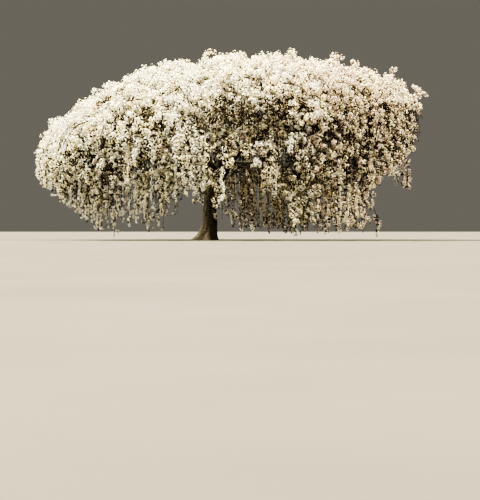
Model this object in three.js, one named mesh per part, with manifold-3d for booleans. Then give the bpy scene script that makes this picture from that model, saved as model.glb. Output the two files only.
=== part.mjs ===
// A white weeping cherry tree in full blossom, about 7 m tall and 15 m wide.
// Millimetres, +Z up, +X to the right and +Y away from the viewer.
// The origin is at the middle of the flat cut under the trunk, at ground level.
//
// A short leaning trunk forks into boughs that arch outward. Each bough ends where it enters a mass of
// blossom. A mass is one stem that arches over, twigs that leave it under the crown's surface and then weep
// towards the ground, and sprays of blossom, larger than life, threaded on them. Under the crown's surface
// a small core, draped over the dome, closes the dense upper part, and more sprays stand out of it.
import * as THREE from "three";
import { mergeVertices } from "three/addons/utils/BufferGeometryUtils.js";
import Module from "manifold-3d";

const wasm = await Module();
wasm.setup();

// Crown
const CREST = 7150; // highest blossom above the ground
const CROWN_X = 870; // the crown's axis, to the right of the trunk's foot
const REACH_SIDE = 7600; // from the crown's axis to its left and right edges
const REACH_DEPTH = 6600; // from the crown's axis to its front and back edges
const SHOULDER = { left: 2300, right: 4300 }; // height where the crown is widest
const ROUNDNESS = { left: 2.3, right: 3.2 }; // exponent of the dome's outline: 2 is an ellipse
const TUCK = { left: 0.36, right: 0.24, front: 0.1, power: 1.25 }; // share of the reach drawn in at the foot
const TUCKED = { left: 0, right: 1800 }; // height under which the crown's side draws in no further
const HEM = 380; // the weeping twigs' ends above the ground
const WINDOW = { x: -450, half: 1100, rise: 1200 }; // the opening on the left of the trunk, under the hem
const DOORWAY = { x: 100, half: 750, rise: 1700, depth: 2200 }; // the opening in front of the trunk
const VAULT = { inner: 0.25, outer: 0.55, rise: 2100 }; // the space round the trunk, in shares of the reach
const LOBE = { half: 1700, drop: 220 }; // each mass's own rounded top
const CELL_GAP = 70; // clear space between neighbouring masses
const LIMB_ROOM = 45; // clear space between a twig and a limb that it passes
const GAP = 0.35; // between solids that touch on the real tree
const SAME_POINT = 0.001; // corners nearer than this are one
const SHORTEST_EDGE = 0.02; // shorter ones are closed up where solids are joined or cut

// Trunk: radii at the foot, at its narrowest, under the fork and at its top
const FORK_HEIGHT = 2900;
const TRUNK_STEPS = 60; // along its middle line, where boughs may leave it
// The crowding is the power that draws its rings together towards the foot.
const TRUNK = { sides: 14, rings: 10, crowding: 1.5, foot: 285, waist: 245, fork: 262, top: 165 };
const FLARE = { rise: 230, height: 260, lobes: 5, lobeShare: 0.34, lobeTurn: 0.6, left: 0.6 };

// Boughs: radii at base and tip, and the habit of their curve
const BOUGH = { base: 128, tip: 46, sides: 6, rings: 6, habit: { rise: 0.42, across: 0.42, climb: -0.06 } };
const SIDE_BOUGH = { base: 78, tip: 40, sides: 5, rings: 5, habit: { rise: 0.35, across: 0.4, climb: 0 } };
const UPPER_BOUGH = { base: 74, tip: 38, sides: 5, rings: 4, habit: { rise: 0.5, across: 0.3, climb: 0.2 } };
const LEADER = { base: 120, tip: 42, sides: 6, rings: 4, habit: { rise: 0.4, across: 0.2, climb: 0.35 } };
const LOW_BOUGH = { base: 82, tip: 36, sides: 5, rings: 5, habit: { rise: 0.9, across: 0.5, climb: -0.2 } };
const LEAVING = 0.18; // share of the way across that a bough's first handle stands out
const BOUGH_TAPER = 0.8; // power of the way along a bough: less than 1 thins it early
const LIMB_BASES = { lowest: 0.8, step: 0.022, leader: 0.93, low: 0.83 }; // shares of the fork's height
const SIDE_AT = 0.4; // share of the way along a bough where its side bough leaves it
const UPPER_AT = 0.3; // the same for its upper bough

// Rings of masses: their places in shares of the reach, their boughs' tips, and their most twigs. A fall is
// the share of the way down to the hem that twigs weep, and a right fall is the same on the right side.
const SECTORS = 6;
const SECTOR_ANGLE = (2 * Math.PI) / SECTORS;
const FIRST_AZIMUTH = THREE.MathUtils.degToRad(-25);
const OUTER = { share: 0.8, lift: 0.8, tipShare: 0.65, tipDepth: 1300, twigs: 9, fall: 1 };
const UPPER = {
  share: 0.42,
  depth: 1900,
  tipShare: 0.33,
  tipDepth: 1250,
  twigs: 6,
  fall: 0.5,
  rightFall: 1,
};
const TOP = { depth: 900, tipDepth: 1250, twigs: 4, fall: 0.4 };
const LOW = { twigs: 11, fall: 1, spread: 2000, top: 3250 };
const LOW_SEED = new THREE.Vector3(2850, -1050, 1650);
const LOW_TIP = new THREE.Vector3(1500, -700, 2920);

// Growth inside a mass
const STEM = { off: 0.385, tip: 20, sides: 3, rings: 3, depth: 880, reachOn: 0.1, fall: 0.4, lead: 350 };
const TWIG = {
  base: 30, // radius at its root
  sides: 3,
  depth: 780, // of its knee under the crown's surface
  out: 200, // its drift away from the crown's axis as it hangs
  halfway: 0.45,
  jitter: 110,
  uneven: 330, // between the ends of neighbours
  shortest: 900, // hanging length
  inset: 210, // from the edges of the mass's space
};
const KNEES = { tries: 40, spread: 2300, draw: 100, apart: 900 }; // where twigs turn down
const ROOTS = { count: 24, first: 3 }; // places along a stem, and those at its start that bear no twig
const SPRAY = { apart: 715, squash: 0.6, tries: 8, proud: 200 };
const HANGING = { length: [1150, 1500], width: [360, 440], tilt: 0.5, beside: 0.42 };
const SPACING = { step: 1230, end: 0.36 }; // along a hanging twig, and the last one's share of a step
const ON_CORE = { length: [850, 1150], width: [310, 400], sink: 300, lift: 0.2, scatter: 1.1 };
const CORE_SPRAYS = { count: 26, lowest: -0.3 };
const CORE = { side: 1300, height: 430, depth: 900, fill: 0.8, rough: 0.2, step: 60 };
const FIRST_SEED = 2000;
const SEED_STEP = 97;
const GOLDEN_ANGLE = Math.PI * (3 - Math.sqrt(5));

const UP = new THREE.Vector3(0, 0, 1);
const mix = THREE.MathUtils.lerp;
const smooth = THREE.MathUtils.smoothstep;

// A repeatable random number source
function seeded(seed) {
  let state = seed >>> 0;
  return () => {
    state = (state + 0x6d2b79f5) >>> 0;
    let t = Math.imul(state ^ (state >>> 15), 1 | state);
    t = (t + Math.imul(t ^ (t >>> 7), 61 | t)) ^ t;
    return ((t ^ (t >>> 14)) >>> 0) / 4294967296;
  };
}

// Crown outline, by azimuth about the crown's axis and by height: 1 is rightmost and 0 leftmost
function rightness(azimuth) {
  return (1 + Math.cos(azimuth)) / 2;
}

// From the crown's axis to the edge of its oval plan
function reach(azimuth) {
  return (
    (REACH_SIDE * REACH_DEPTH) /
    Math.hypot(REACH_DEPTH * Math.cos(azimuth), REACH_SIDE * Math.sin(azimuth))
  );
}

function polar(x, y) {
  const azimuth = Math.atan2(y, x - CROWN_X);
  return { azimuth, share: Math.hypot(x - CROWN_X, y) / reach(azimuth) };
}

function domeHeight(x, y) {
  const { azimuth, share } = polar(x, y);
  const shoulder = mix(SHOULDER.left, SHOULDER.right, rightness(azimuth));
  const power = mix(ROUNDNESS.left, ROUNDNESS.right, rightness(azimuth));
  const rest = Math.max(0, 1 - share ** power);
  return shoulder + (CREST - shoulder) * rest ** (1 / power);
}

// The share of the reach that the crown's side keeps at a height
function skirtShare(azimuth, z) {
  const shoulder = mix(SHOULDER.left, SHOULDER.right, rightness(azimuth));
  const aside = mix(TUCK.left, TUCK.right, rightness(azimuth));
  const tuck = mix(TUCK.front, aside, Math.cos(azimuth) ** 2);
  const tucked = mix(TUCKED.left, TUCKED.right, rightness(azimuth));
  const below = THREE.MathUtils.clamp((shoulder - z) / (shoulder - tucked), 0, 1);
  return 1 - tuck * below ** TUCK.power;
}

// The lower edge of the blossom, lifted over the openings round the trunk
function hemHeight(x, y) {
  const { share } = polar(x, y);
  const window = WINDOW.rise * Math.exp(-(((x - WINDOW.x) / WINDOW.half) ** 2));
  const inFront = smooth(-y, 0, DOORWAY.depth);
  const doorway = inFront * DOORWAY.rise * Math.exp(-(((x - DOORWAY.x) / DOORWAY.half) ** 2));
  const vault = VAULT.rise * (1 - smooth(share, VAULT.inner, VAULT.outer));
  return HEM + Math.max(window, doorway, vault);
}

// The point at a depth under the crown's surface
function crownPoint(azimuth, share, depth) {
  const radius = share * reach(azimuth);
  const x = CROWN_X + radius * Math.cos(azimuth);
  const y = radius * Math.sin(azimuth);
  return new THREE.Vector3(x, y, domeHeight(x, y) - depth);
}

// Solids
function solidOf(geometry) {
  geometry.deleteAttribute("normal");
  geometry.deleteAttribute("uv");
  const merged = mergeVertices(geometry, SAME_POINT);
  return new wasm.Manifold(
    new wasm.Mesh({
      numProp: 3,
      vertProperties: merged.attributes.position.array,
      triVerts: new Uint32Array(merged.index.array),
      tolerance: SHORTEST_EDGE,
    }),
  );
}

function geometryOf(solid) {
  const mesh = solid.getMesh();
  const geometry = new THREE.BufferGeometry();
  geometry.setAttribute("position", new THREE.BufferAttribute(mesh.vertProperties, 3));
  geometry.setIndex(new THREE.BufferAttribute(mesh.triVerts, 1));
  geometry.computeVertexNormals();
  return geometry;
}

// The one closed body that stays when sealed hollows are filled and loose scraps dropped
function largestBody(solid) {
  const bodies = solid.decompose();
  return bodies.reduce((a, b) => (b.volume() > a.volume() ? b : a));
}

// A limb of round sections at a list of places: an upright cylinder bent on to them. Each place has a point
// and the direction there, and girths has a radius for each. An extra makes the limb larger all round.
function bentLimb(places, girths, sides, extra = 0) {
  const last = places.length - 1;
  const pointed = girths[last] === 0;
  const geometry = new THREE.CylinderGeometry(pointed ? 0 : 1, 1, 1, sides, last);
  const position = geometry.attributes.position;
  const frame = new THREE.Quaternion().setFromUnitVectors(UP, places[0].direction);
  const frames = places.map((place, i) => {
    const from = places[Math.max(0, i - 1)].direction;
    frame.premultiply(new THREE.Quaternion().setFromUnitVectors(from, place.direction));
    return frame.clone();
  });
  const vertex = new THREE.Vector3();
  for (let i = 0; i < position.count; i++) {
    vertex.fromBufferAttribute(position, i);
    const ring = Math.round((vertex.y + 0.5) * last);
    const end = ring === 0 ? -extra : ring === last ? extra : 0;
    const angle = Math.atan2(-vertex.z, vertex.x);
    const girth = Math.hypot(vertex.x, vertex.z) > SAME_POINT ? girths[ring] + extra : 0;
    vertex.set(girth * Math.cos(angle), girth * Math.sin(angle), end);
    vertex.applyQuaternion(frames[ring]).add(places[ring].point);
    position.setXYZ(i, vertex.x, vertex.y, vertex.z);
  }
  return solidOf(geometry);
}

function placesOn(curve, rings) {
  const points = curve.getSpacedPoints(rings);
  return points.map((point, i) => ({ point, direction: curve.getTangentAt(i / rings) }));
}

// Places at the corners of a bent line, each facing halfway between the stretches that meet there
function placesAt(points) {
  const stretch = points.slice(1).map((point, i) => point.clone().sub(points[i]).normalize());
  return points.map((point, i) => {
    const before = stretch[Math.max(0, i - 1)];
    const after = stretch[Math.min(i, stretch.length - 1)];
    return { point, direction: before.clone().add(after).normalize() };
  });
}

// Radii from one end of a limb to the other
function tapered(from, to, count, power = 1) {
  return Array.from({ length: count }, (_, i) => mix(from, to, (i / (count - 1)) ** power));
}

// A bough's solid. The grown one is larger all round by the gap, and cuts what touches the bough.
function boughOn(curve, size) {
  const places = placesOn(curve, size.rings);
  const girths = tapered(size.base, size.tip, places.length, BOUGH_TAPER);
  return {
    curve,
    size,
    places,
    girths,
    solid: bentLimb(places, girths, size.sides),
    grown: bentLimb(places, girths, size.sides, GAP),
  };
}

// Trunk
const trunkCurve = new THREE.CatmullRomCurve3(
  [
    new THREE.Vector3(0, 0, 0),
    new THREE.Vector3(70, 10, 700),
    new THREE.Vector3(80, 20, 1400),
    new THREE.Vector3(260, 10, 2150),
    new THREE.Vector3(CROWN_X - 60, 0, FORK_HEIGHT),
  ],
  false,
  "catmullrom",
  0.5,
);

function trunkGirth(height) {
  const rise = height / FORK_HEIGHT;
  const column = mix(TRUNK.foot, TRUNK.waist, smooth(rise, 0, 0.5));
  const swell = (TRUNK.fork - TRUNK.waist) * smooth(rise, 0.5, 0.75);
  const shed = (TRUNK.fork - TRUNK.top) * smooth(rise, 0.8, 1);
  return column + swell - shed;
}

// The trunk is built from level rings, so its foot is a flat cut, and the roots' lobes fade upward
function trunkSolid(extra) {
  const geometry = new THREE.CylinderGeometry(1, 1, 1, TRUNK.sides, TRUNK.rings);
  const position = geometry.attributes.position;
  const vertex = new THREE.Vector3();
  for (let i = 0; i < position.count; i++) {
    vertex.fromBufferAttribute(position, i);
    const t = (vertex.y + 0.5) ** TRUNK.crowding;
    const centre = trunkCurve.getPoint(t);
    const angle = Math.atan2(-vertex.z, vertex.x);
    const fade = Math.exp(-centre.z / FLARE.height);
    const lobe = 1 + FLARE.lobeShare * Math.cos(FLARE.lobes * angle + FLARE.lobeTurn);
    const toLeft = 1 - FLARE.left * Math.cos(angle);
    const spread = FLARE.rise * fade * lobe * toLeft;
    const girth = Math.hypot(vertex.x, vertex.z) * (trunkGirth(centre.z) + spread + extra);
    vertex.set(Math.cos(angle) * girth, Math.sin(angle) * girth, t === 1 ? extra : 0).add(centre);
    position.setXYZ(i, vertex.x, vertex.y, vertex.z);
  }
  return solidOf(geometry);
}

const trunk = {
  places: placesOn(trunkCurve, TRUNK.rings),
  girths: placesOn(trunkCurve, TRUNK.rings).map(({ point }) => trunkGirth(point.z)),
};

// Boughs: a cubic curve that leaves its parent rising. Its way in at the tip is set by the shares of the
// way across and of the climb that the last handle stands back.
function archingCurve(start, end, habit) {
  const across = end.clone().sub(start).setZ(0);
  const climb = end.z - start.z;
  const first = start.clone().addScaledVector(across, LEAVING);
  const second = end.clone().addScaledVector(across, -habit.across);
  first.z += climb * habit.rise;
  second.z -= climb * habit.climb;
  return new THREE.CubicBezierCurve3(start, first, second, end);
}

// The place on the trunk's middle line that is nearest to a share of the fork's height
function trunkPoint(share) {
  const off = (point) => Math.abs(point.z - share * FORK_HEIGHT);
  return trunkCurve.getPoints(TRUNK_STEPS).reduce((a, b) => (off(b) < off(a) ? b : a));
}

const limbs = [];
const masses = [];

function addLimb(name, base, tip, size) {
  const limb = { name, ...boughOn(archingCurve(base, tip, size.habit), size) };
  limbs.push(limb);
  return limb;
}

// A mass has a seed, the middle of its space, the limb that bears it, and its ring's sizes
function addMass(name, seed, limb, ring) {
  masses.push({ name, seed, limb, ring });
}

function layOut() {
  const leaderTip = crownPoint(0, 0, TOP.tipDepth);
  const leaderBase = trunkPoint(LIMB_BASES.leader);
  const leader = addLimb("leader", leaderBase, leaderTip, LEADER);
  addMass("top_blossom", crownPoint(0, 0, TOP.depth), leader, TOP);

  for (let i = 0; i < SECTORS; i++) {
    const azimuth = FIRST_AZIMUTH + i * SECTOR_ANGLE;
    const base = trunkPoint(LIMB_BASES.lowest + LIMB_BASES.step * ((i * 5) % SECTORS));
    const tip = crownPoint(azimuth, OUTER.tipShare, OUTER.tipDepth);
    const bough = addLimb(`bough_${i + 1}`, base, tip, BOUGH);
    addOuterMass(2 * i, azimuth, bough);

    const between = azimuth + SECTOR_ANGLE / 2;
    const sideBase = bough.curve.getPointAt(SIDE_AT);
    const sideTip = crownPoint(between, OUTER.tipShare, OUTER.tipDepth);
    const side = addLimb(`side_bough_${i + 1}`, sideBase, sideTip, SIDE_BOUGH);
    addOuterMass(2 * i + 1, between, side);

    const upperBase = bough.curve.getPointAt(UPPER_AT);
    const upperTip = crownPoint(azimuth, UPPER.tipShare, UPPER.tipDepth);
    const upper = addLimb(`upper_bough_${i + 1}`, upperBase, upperTip, UPPER_BOUGH);
    addMass(`upper_blossom_${i + 1}`, crownPoint(azimuth, UPPER.share, UPPER.depth), upper, UPPER);
  }

  const low = addLimb("low_bough", trunkPoint(LIMB_BASES.low), LOW_TIP, LOW_BOUGH);
  addMass("inner_blossom", LOW_SEED, low, LOW);
}

function addOuterMass(index, azimuth, limb) {
  const seed = crownPoint(azimuth, OUTER.share, 0);
  seed.z = mix(hemHeight(seed.x, seed.y), seed.z, OUTER.lift);
  addMass(`outer_blossom_${index + 1}`, seed, limb, OUTER);
}

// A mass's own space: under its rounded top, above the hem, inside the skirt, nearer to its seed than to
// any other mass's, and off the boughs
function topOf(mass, x, y) {
  const off = Math.hypot(x - mass.seed.x, y - mass.seed.y) / LOBE.half;
  return Math.min(mass.ring.top ?? CREST, domeHeight(x, y)) - LOBE.drop * Math.min(1, off * off);
}

function hemOf(mass, x, y) {
  return mass.ring === LOW ? HEM : hemHeight(x, y);
}

// Square to the wall between two masses. The wall between the low mass and an outer one stands upright.
function wayTo(mass, other) {
  const way = other.seed.clone().sub(mass.seed);
  const rings = [mass.ring, other.ring];
  if (rings.includes(LOW) && rings.includes(OUTER)) way.setZ(0);
  return way.normalize();
}

// Sprays may stand a little proud of the top and hem, and twigs keep an inset from the sides
function inSpace(mass, point, proud = 0, inset = 0) {
  const { azimuth, share } = polar(point.x, point.y);
  if (share > skirtShare(azimuth, point.z) - inset / REACH_SIDE) return false;
  if (point.z > topOf(mass, point.x, point.y) + proud) return false;
  if (point.z < hemOf(mass, point.x, point.y) - proud) return false;
  return masses.every((other) => {
    if (other === mass) return true;
    const middle = other.seed.clone().add(mass.seed).multiplyScalar(0.5);
    return point.clone().sub(middle).dot(wayTo(mass, other)) < -CELL_GAP / 2 - inset;
  });
}

// The shortest way between a stretch of a twig and a stretch of a bough, at a few points of the bough's
function clearOfLimbs(mass, a, b, radius) {
  const stretch = new THREE.Line3(a, b);
  const nearest = new THREE.Vector3();
  return [trunk, ...limbs].every((limb) =>
    limb.places.every(({ point }, i) => {
      const next = limb.places[i + 1];
      if (!next || (limb === mass.limb && i > limb.places.length - 3)) return true;
      return [0, 0.25, 0.5, 0.75, 1].every((share) => {
        const probe = point.clone().lerp(next.point, share);
        stretch.closestPointToPoint(probe, true, nearest);
        return nearest.distanceTo(probe) > limb.girths[i] + radius + LIMB_ROOM;
      });
    }),
  );
}

// The stem goes on from the bough's tip, over the top of the mass and down towards the skirt
function stemPlaces(mass) {
  const along = mass.limb.curve.getTangent(1);
  const start = mass.limb.curve.getPoint(1).addScaledVector(along, STEM.off);
  const { azimuth, share } = polar(mass.seed.x, mass.seed.y);
  const crest = mass.seed.clone();
  crest.z = topOf(mass, crest.x, crest.y) - STEM.depth;
  const end = crownPoint(azimuth, share + STEM.reachOn, 0);
  end.z = mix(crest.z, hemOf(mass, end.x, end.y), STEM.fall);
  const handle = start.clone().addScaledVector(along, STEM.lead);
  const curve = new THREE.CatmullRomCurve3([start, handle, crest, end], false, "catmullrom", 0.5);
  return placesOn(curve, STEM.rings);
}

// Where a twig turns down, under the crown's surface: a place of the pattern, drawn in until it lies inside
function kneeAt(mass, angle, share) {
  const spread = mass.ring.spread ?? KNEES.spread;
  for (let radius = spread * share; radius > 0; radius -= KNEES.draw) {
    const x = mass.seed.x + radius * Math.cos(angle);
    const y = mass.seed.y + radius * Math.sin(angle);
    const knee = new THREE.Vector3(x, y, topOf(mass, x, y) - TWIG.depth);
    if (inSpace(mass, knee, 0, TWIG.inset)) return knee;
  }
  return null;
}

// One twig: from its root on the stem out under the crown's surface, and then weeping down to the hem
function twigPoints(mass, roots, knee, random) {
  const { x, y } = knee;
  const root = roots.reduce((a, b) => (b.distanceTo(knee) < a.distanceTo(knee) ? b : a));
  const outward = new THREE.Vector3(x - CROWN_X, y, 0).normalize();
  const end = knee.clone().addScaledVector(outward, TWIG.out);
  const { fall, rightFall = fall } = mass.ring;
  const share = mix(fall, rightFall, smooth(x, CROWN_X, REACH_SIDE / 2));
  end.z = mix(knee.z, hemOf(mass, x, y), share) + TWIG.uneven * random();
  while (end.z < knee.z && !inSpace(mass, end, 0, TWIG.inset)) end.z += TWIG.out;
  if (knee.z - end.z < TWIG.shortest) return null;
  const half = knee.clone().lerp(end, TWIG.halfway).addScaledVector(outward, TWIG.out * random());
  half.x += (random() - 0.5) * 2 * TWIG.jitter;
  half.y += (random() - 0.5) * 2 * TWIG.jitter;
  const points = [root, knee, half, end];
  if (points.some((point) => !inSpace(mass, point))) return null;
  for (let i = 1; i < points.length; i++)
    if (!clearOfLimbs(mass, points[i - 1], points[i], TWIG.base)) return null;
  roots.splice(roots.indexOf(root), 1);
  return points;
}

// One spray: a double pyramid with eight faces about its axis
function spraySolid(mass, middle, axis, size, turn, others) {
  const off = new THREE.Vector3();
  const near = (other) => off.subVectors(other, middle).setZ(off.z * SPRAY.squash).length() < SPRAY.apart;
  if (others.some(near)) return null;
  const geometry = new THREE.OctahedronGeometry(1, 0);
  geometry.scale(size.width, size.width, size.length / 2);
  geometry.rotateZ(turn);
  geometry.applyQuaternion(new THREE.Quaternion().setFromUnitVectors(UP, axis));
  geometry.translate(middle.x, middle.y, middle.z);
  const corner = new THREE.Vector3();
  const position = geometry.attributes.position;
  for (let i = 0; i < position.count; i++)
    if (!inSpace(mass, corner.fromBufferAttribute(position, i), SPRAY.proud)) return null;
  const ends = [-0.25, 0.25].map((share) => middle.clone().addScaledVector(axis, share * size.length));
  if (!clearOfLimbs(mass, ...ends, size.width)) return null;
  others.push(middle);
  return solidOf(geometry);
}

function spraySize(kind, random) {
  return { length: mix(...kind.length, random()), width: mix(...kind.width, random()) };
}

function scattered(direction, amount, random) {
  return new THREE.Vector3(random() - 0.5, random() - 0.5, random() - 0.5)
    .multiplyScalar(amount)
    .add(direction)
    .normalize();
}

// Tries to make a spray a few times, and gives a list with the first that fits, or an empty one
function firstThatFits(make) {
  for (let n = 0; n < SPRAY.tries; n++) {
    const spray = make(n);
    if (spray) return [spray];
  }
  return [];
}

// Sprays threaded on a twig from its end up to its knee, each to one side, so that the twig runs through
// two of its faces
function spraysAlong(mass, points, random, others) {
  const sprays = [];
  const line = new THREE.CurvePath();
  for (let i = points.length - 1; i > 1; i--) line.add(new THREE.LineCurve3(points[i], points[i - 1]));
  const length = line.getLength();
  const azimuth = random() * Math.PI;
  const step = length / Math.max(1, Math.round(length / SPACING.step));
  for (let at = SPACING.end * step; at < length; at += step) {
    const root = line.getPointAt(at / length);
    const made = firstThatFits((n) => {
      const size = spraySize(HANGING, random);
      const side = azimuth + (sprays.length + n) * GOLDEN_ANGLE;
      const beside = new THREE.Vector3(Math.cos(side), Math.sin(side), 0);
      const middle = root.clone().addScaledVector(beside, size.width * HANGING.beside);
      const axis = scattered(UP, HANGING.tilt, random);
      return spraySolid(mass, middle, axis, size, side + Math.PI / 4, others);
    });
    sprays.push(...made);
  }
  return sprays;
}

// A place on a mass's core: on an oval about its centre, draped over the slope of the crown there, and
// drawn in from the edges of the mass's space
function corePoint(mass, centre, direction, shrink) {
  const { side, height, fill, step } = CORE;
  const draped = (radius) => {
    const point = centre.clone().addScaledVector(direction, radius);
    point.z += topOf(mass, point.x, point.y) - topOf(mass, centre.x, centre.y);
    return point;
  };
  const oval = 1 / Math.hypot(direction.x / side, direction.y / side, direction.z / height);
  let room = step;
  while (room < oval / fill && inSpace(mass, draped(room))) room += step;
  return draped(Math.min(oval, room * fill) * shrink);
}

// The core under the top of a dense mass, with the sprays that stand out of it
function coreSolids(mass, random, others) {
  const centre = mass.seed.clone();
  centre.z = topOf(mass, centre.x, centre.y) - CORE.depth;
  const geometry = new THREE.DodecahedronGeometry(1, 0);
  geometry.deleteAttribute("normal");
  geometry.deleteAttribute("uv");
  const ball = mergeVertices(geometry, SAME_POINT);
  const position = ball.attributes.position;
  const direction = new THREE.Vector3();
  for (let i = 0; i < position.count; i++) {
    direction.fromBufferAttribute(position, i).normalize();
    const point = corePoint(mass, centre, direction, 1 - CORE.rough * random());
    position.setXYZ(i, point.x, point.y, point.z);
  }
  const solids = [solidOf(ball)];
  for (let k = 0; k < CORE_SPRAYS.count; k++) {
    const z = mix(1, CORE_SPRAYS.lowest, (k + 0.5) / CORE_SPRAYS.count);
    const turn = k * GOLDEN_ANGLE;
    const lean = new THREE.Vector3(Math.cos(turn), Math.sin(turn), 0).multiplyScalar(Math.sqrt(1 - z * z));
    lean.z = z;
    const root = corePoint(mass, centre, lean, 1 - CORE.rough);
    lean.z += ON_CORE.lift;
    const made = firstThatFits(() => {
      const size = spraySize(ON_CORE, random);
      const axis = scattered(lean, ON_CORE.scatter, random);
      const middle = root.clone().addScaledVector(axis, size.length / 2 - ON_CORE.sink);
      return spraySolid(mass, middle, axis, size, random() * Math.PI, others);
    });
    solids.push(...made);
  }
  return solids;
}

function massSolid(mass, index) {
  const random = seeded(FIRST_SEED + SEED_STEP * index);
  const others = [];
  const stem = stemPlaces(mass);
  const grown = [bentLimb(stem, tapered(mass.limb.size.tip, STEM.tip, stem.length), STEM.sides)];
  if (mass.ring !== LOW) grown.push(...coreSolids(mass, random, others));
  const turn = random() * Math.PI;
  const line = new THREE.CatmullRomCurve3(stem.map((place) => place.point));
  const roots = line.getSpacedPoints(ROOTS.count).slice(ROOTS.first);
  const knees = [];
  for (let k = 0; k < KNEES.tries && knees.length < mass.ring.twigs; k++) {
    const share = Math.sqrt(1 - (k + 0.5) / KNEES.tries);
    const knee = kneeAt(mass, turn + k * GOLDEN_ANGLE, share);
    if (!knee || knees.some((other) => other.distanceTo(knee) < KNEES.apart)) continue;
    const points = twigPoints(mass, roots, knee, random);
    if (!points) continue;
    const sprays = spraysAlong(mass, points, random, others);
    if (sprays.length === 0) continue;
    knees.push(knee);
    grown.push(bentLimb(placesAt(points), tapered(TWIG.base, 0, points.length), TWIG.sides), ...sprays);
  }
  const clearance = wasm.Manifold.union(limbs.map((limb) => limb.grown));
  return largestBody(wasm.Manifold.union(grown).subtract(clearance));
}

// The scene graph
const bark = new THREE.MeshStandardMaterial({ color: 0x3a2c22, roughness: 0.9, metalness: 0 });
const blossom = new THREE.MeshStandardMaterial({ color: 0xf3eee2, roughness: 0.8, metalness: 0 });

function meshOf(name, solid, material) {
  const mesh = new THREE.Mesh(geometryOf(solid), material);
  mesh.name = name;
  return mesh;
}

layOut();
const tree = new THREE.Group();
tree.add(meshOf("trunk", trunkSolid(0), bark));
const cutters = [trunkSolid(GAP)];
for (const limb of limbs) {
  const cut = largestBody(limb.solid.subtract(wasm.Manifold.union(cutters)));
  tree.add(meshOf(limb.name, cut, bark));
  cutters.push(limb.grown);
}
masses.forEach((mass, index) => tree.add(meshOf(mass.name, massSolid(mass, index), blossom)));

export default tree;
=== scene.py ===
"""A white weeping cherry tree in full blossom, grown over the solids of its plain model.

Metres, +Z up, +X to the right and +Y away from the viewer. The crown, the limbs and the spaces of the
masses follow the same rule and named sizes as the solids. Inside each space the growth is carried on to
finer twigs, which bear clusters of five-petalled flowers and young leaves, coloured near-black as painted
shade in the gaps.
"""
import math
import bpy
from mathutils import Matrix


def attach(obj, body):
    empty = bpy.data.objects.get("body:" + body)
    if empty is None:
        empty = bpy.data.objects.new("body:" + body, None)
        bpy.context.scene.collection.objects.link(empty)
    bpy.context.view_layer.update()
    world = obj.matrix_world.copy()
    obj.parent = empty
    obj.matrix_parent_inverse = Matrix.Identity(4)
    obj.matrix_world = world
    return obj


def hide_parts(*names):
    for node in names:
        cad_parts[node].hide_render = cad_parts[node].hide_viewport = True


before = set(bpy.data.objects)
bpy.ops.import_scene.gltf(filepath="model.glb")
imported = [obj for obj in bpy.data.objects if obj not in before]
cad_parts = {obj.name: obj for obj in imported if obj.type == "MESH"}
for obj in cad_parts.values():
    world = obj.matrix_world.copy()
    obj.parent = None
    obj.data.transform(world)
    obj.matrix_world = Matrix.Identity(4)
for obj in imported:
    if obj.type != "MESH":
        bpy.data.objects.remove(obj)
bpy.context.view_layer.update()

from types import SimpleNamespace as Sizes

import bpy
import numpy as np
from mathutils import Vector, kdtree, noise

# Crown: a dome on a skirt that draws in under its shoulder. Pairs are for its left and its right side
CREST = 7.17
CROWN_X = 0.87
REACH_SIDE = 7.6
REACH_DEPTH = 6.6
SHOULDER = (2.3, 3.9)
ROUNDNESS = (1.95, 2.85)
TUCK = Sizes(sides=(0.36, 0.24), front=0.1, power=1.25)
TUCKED = (0, 1.8)  # height under which the skirt draws in no further
# The hem rises at the window left of the trunk, in the doorway before it and in the vault round it
HEM = 0.38
WINDOW = Sizes(x=-0.45, half=1.1, rise=1.2)
DOORWAY = Sizes(x=1.3, half=1.05, power=4, rise=2.3, depth=2.2)
VAULT = Sizes(share=(0.25, 0.55), rise=2.1)
# Each mass's top falls off round its seed, and a gap parts it from its neighbours
LOBE = Sizes(half=1.7, drop=0.22)
CELL_GAP = 0.07

# The crown's uneven top: dips across it, with half widths and depths, and low bumps all over
DIPS = [(-4.2, 0.35, 0.3), (-0.4, 0.4, 0.3), (1.55, 0.3, 0.25), (4.1, 0.35, 0.2), (6.3, 0.3, 0.25)]
DIP_REACH = 2.6  # half their length from front to back
BUMPS = Sizes(waves=5, length=(1.2, 2.6), height=0.035)

# Trunk
FORK_HEIGHT = 2.9
TRUNK = Sizes(sides=96, rings=130, foot=0.285, waist=0.245, fork=0.262, top=0.165)
RINGS_TO_FOOT = 1.2  # over 1 they lie closer together there
FORK_END = Sizes(start=2.72, closed=0.9)  # where the trunk rounds off within the fork
TRUNK_LINE = [(0, 0, 0), (0.07, 0.01, 0.7), (0.08, 0.02, 1.4), (0.26, 0.01, 2.15), (0.81, 0, FORK_HEIGHT)]
FLARE = Sizes(rise=0.23, height=0.26, lobes=5, share=0.34, turn=0.6, left=0.6)

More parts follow.
